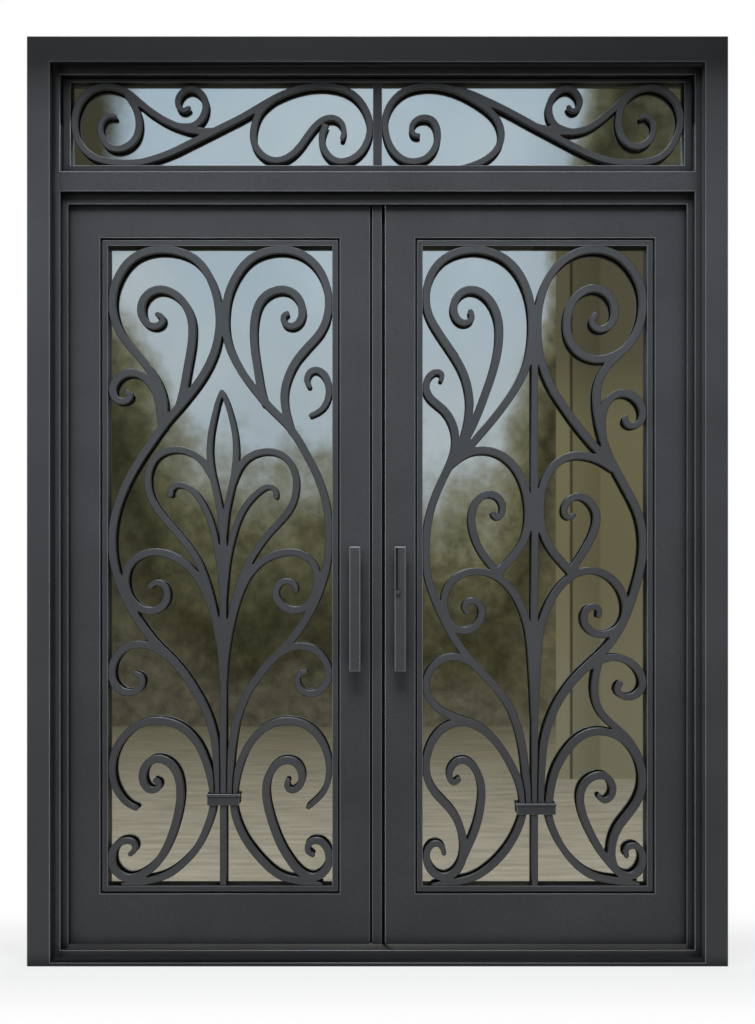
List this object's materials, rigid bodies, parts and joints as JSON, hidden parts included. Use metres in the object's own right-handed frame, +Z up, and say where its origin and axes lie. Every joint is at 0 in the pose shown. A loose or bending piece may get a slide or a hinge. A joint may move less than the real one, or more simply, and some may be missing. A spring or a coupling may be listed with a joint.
{
  "type": "double entry door",
  "caption": "Wrought-iron double entry door: inswing leaves with scrollwork grilles over glass, in a stepped steel frame under a scrolled transom.",
  "frame": {"origin": "floor level under the middle of the sill, at half the depth of the frame", "axes": "+Z up, +X to the right seen from outdoors, +Y indoors"},
  "size_m": [1.838, 0.1775, 2.438],
  "materials": {
    "frame_paint": "charcoal powder coat, low sheen",
    "leaf_paint": "charcoal powder coat, low sheen",
    "scroll_iron": "charcoal powder coat over forged bar",
    "handle_iron": "charcoal powder coat, slightly worn",
    "hinge_steel": "painted steel barrel hinge",
    "glass": "clear reflective double glazing"
  },
  "bodies": {
    "frame": {"left_jamb": "frame_paint", "right_jamb": "frame_paint", "head": "frame_paint", "sill": "frame_paint", "transom_bar": "frame_paint", "left_door_stop": "frame_paint", "right_door_stop": "frame_paint", "head_door_stop": "frame_paint", "transom_bead": "frame_paint", "transom_mullion": "frame_paint", "transom_glass": "glass", "transom_rear_bead": "frame_paint", "left_transom_scrolls": "scroll_iron", "right_transom_scrolls": "scroll_iron", "left_frame_hinges": "hinge_steel", "right_frame_hinges": "hinge_steel"},
    "left_leaf": {"left_hinge_stile": "leaf_paint", "left_meeting_stile": "leaf_paint", "left_top_rail": "leaf_paint", "left_bottom_rail": "leaf_paint", "left_bead": "leaf_paint", "left_glass": "glass", "left_rear_bead": "leaf_paint", "left_scrollwork": "scroll_iron", "left_collar": "scroll_iron", "left_pull": "handle_iron", "left_leaf_hinges": "hinge_steel", "astragal": "leaf_paint"},
    "right_leaf": {"right_hinge_stile": "leaf_paint", "right_meeting_stile": "leaf_paint", "right_top_rail": "leaf_paint", "right_bottom_rail": "leaf_paint", "right_bead": "leaf_paint", "right_glass": "glass", "right_rear_bead": "leaf_paint", "right_scrollwork": "scroll_iron", "right_collar": "scroll_iron", "right_pull": "handle_iron", "right_leaf_hinges": "hinge_steel", "thumb_latch": "handle_iron"}
  },
  "joints": [
    {"name": "left_leaf_hinge", "type": "hinge", "parent": "frame", "child": "left_leaf", "pos_m": [-0.837, 0.0915, 0], "axis": [0, 0, 1], "range_deg": [0, 90]},
    {"name": "right_leaf_hinge", "type": "hinge", "parent": "frame", "child": "right_leaf", "pos_m": [0.837, 0.0915, 0], "axis": [0, 0, -1], "range_deg": [0, 90]}
  ]
}
